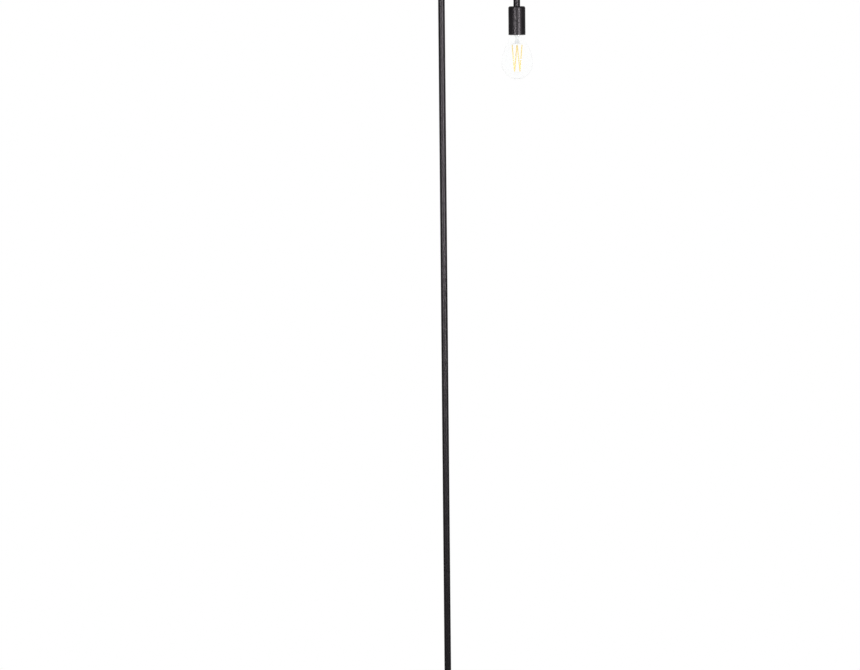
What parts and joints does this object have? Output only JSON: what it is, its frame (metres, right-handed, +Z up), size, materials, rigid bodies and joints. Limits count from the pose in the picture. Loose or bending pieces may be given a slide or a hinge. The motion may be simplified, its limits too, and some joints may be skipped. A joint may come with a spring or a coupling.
{
  "type": "floor lamp",
  "caption": "Slim black floor lamp with a round weighted foot, an upright tube that bends over at the top, and a bare clear filament bulb in a plain holder.",
  "frame": {"origin": "centre of the floor pad's underside, on the axis of the pole, at floor height", "axes": "+Z up along the pole, +X from the pole towards the bulb, the cord inlet at -X"},
  "size_m": [0.3025, 0.25, 1.4999],
  "materials": {
    "black_coat": "satin black powder coat",
    "cast_iron": "as cast",
    "zinc_steel": "zinc plated",
    "foam": "matt foam",
    "black_plastic": "matt",
    "white_plastic": "satin",
    "brass": "bright",
    "screw_steel": "nickel plated",
    "porcelain": "glazed",
    "sheath": "matt",
    "core_brown": "satin",
    "core_blue": "satin",
    "core_earth": "satin, green and yellow",
    "nickel_shell": "nickel plated",
    "cap_glass": "black glass",
    "solder": "tinned",
    "board": "white solder mask",
    "components": "moulded",
    "clear_glass": "clear",
    "lead_wire": "nickel wire",
    "filament": "yellow phosphor"
  },
  "bodies": {
    "lamp": {"pole_lower": "black_coat", "pole_upper": "black_coat", "foot_collar": "black_coat", "base_cover": "black_coat", "holder_cover": "black_coat", "base_weight": "cast_iron", "bottom_plate": "zinc_steel", "base_washer": "zinc_steel", "base_tooth_washer": "zinc_steel", "base_nut": "zinc_steel", "base_nipple": "zinc_steel", "joint_nipple": "zinc_steel", "holder_nipple": "zinc_steel", "holder_lock_nut": "zinc_steel", "holder_tooth_washer": "zinc_steel", "holder_bridge": "zinc_steel", "plate_screws": "zinc_steel", "small_screws": "zinc_steel", "bridge_screws": "zinc_steel", "pole_foot_insert": "zinc_steel", "pole_top_insert": "zinc_steel", "upper_pole_insert": "zinc_steel", "stem_insert": "zinc_steel", "floor_pad": "foam", "cord_grommet": "black_plastic", "cord_clamp": "black_plastic", "base_bushing": "black_plastic", "holder_bushing": "black_plastic", "terminal_block": "white_plastic", "block_sleeves": "brass", "earth_tag_base": "brass", "earth_tag_top": "brass", "terminal_live": "brass", "terminal_neutral": "brass", "screw_shell": "brass", "centre_contact": "brass", "block_screws": "screw_steel", "terminal_screws": "screw_steel", "holder_body": "porcelain", "flex_sheath": "sheath", "live_core": "core_brown", "neutral_core": "core_blue", "earth_core": "core_earth", "earth_link": "core_earth"},
    "bulb_tip": {"cap_contact": "solder"},
    "bulb": {"cap_shell": "nickel_shell", "cap_insulator": "cap_glass", "driver_board": "board", "driver_parts": "components", "glass_bulb": "clear_glass", "glass_stem": "clear_glass", "support_wires": "lead_wire", "filaments": "filament", "filament_links": "lead_wire"}
  },
  "joints": [
    {"name": "bulb_drop", "type": "slide", "parent": "lamp", "child": "bulb_tip", "axis": [0, 0, -1], "range_m": [0, 0.01644]},
    {"name": "bulb_turn", "type": "hinge", "parent": "bulb_tip", "child": "bulb", "pos_m": [0.146, 0, 1.322], "axis": [0, 0, -1], "range_deg": [0, 1620]}
  ],
  "couplings": [
    {"joint": "bulb_drop", "follows": "bulb_turn", "m_per_rad": 0.00057773}
  ]
}
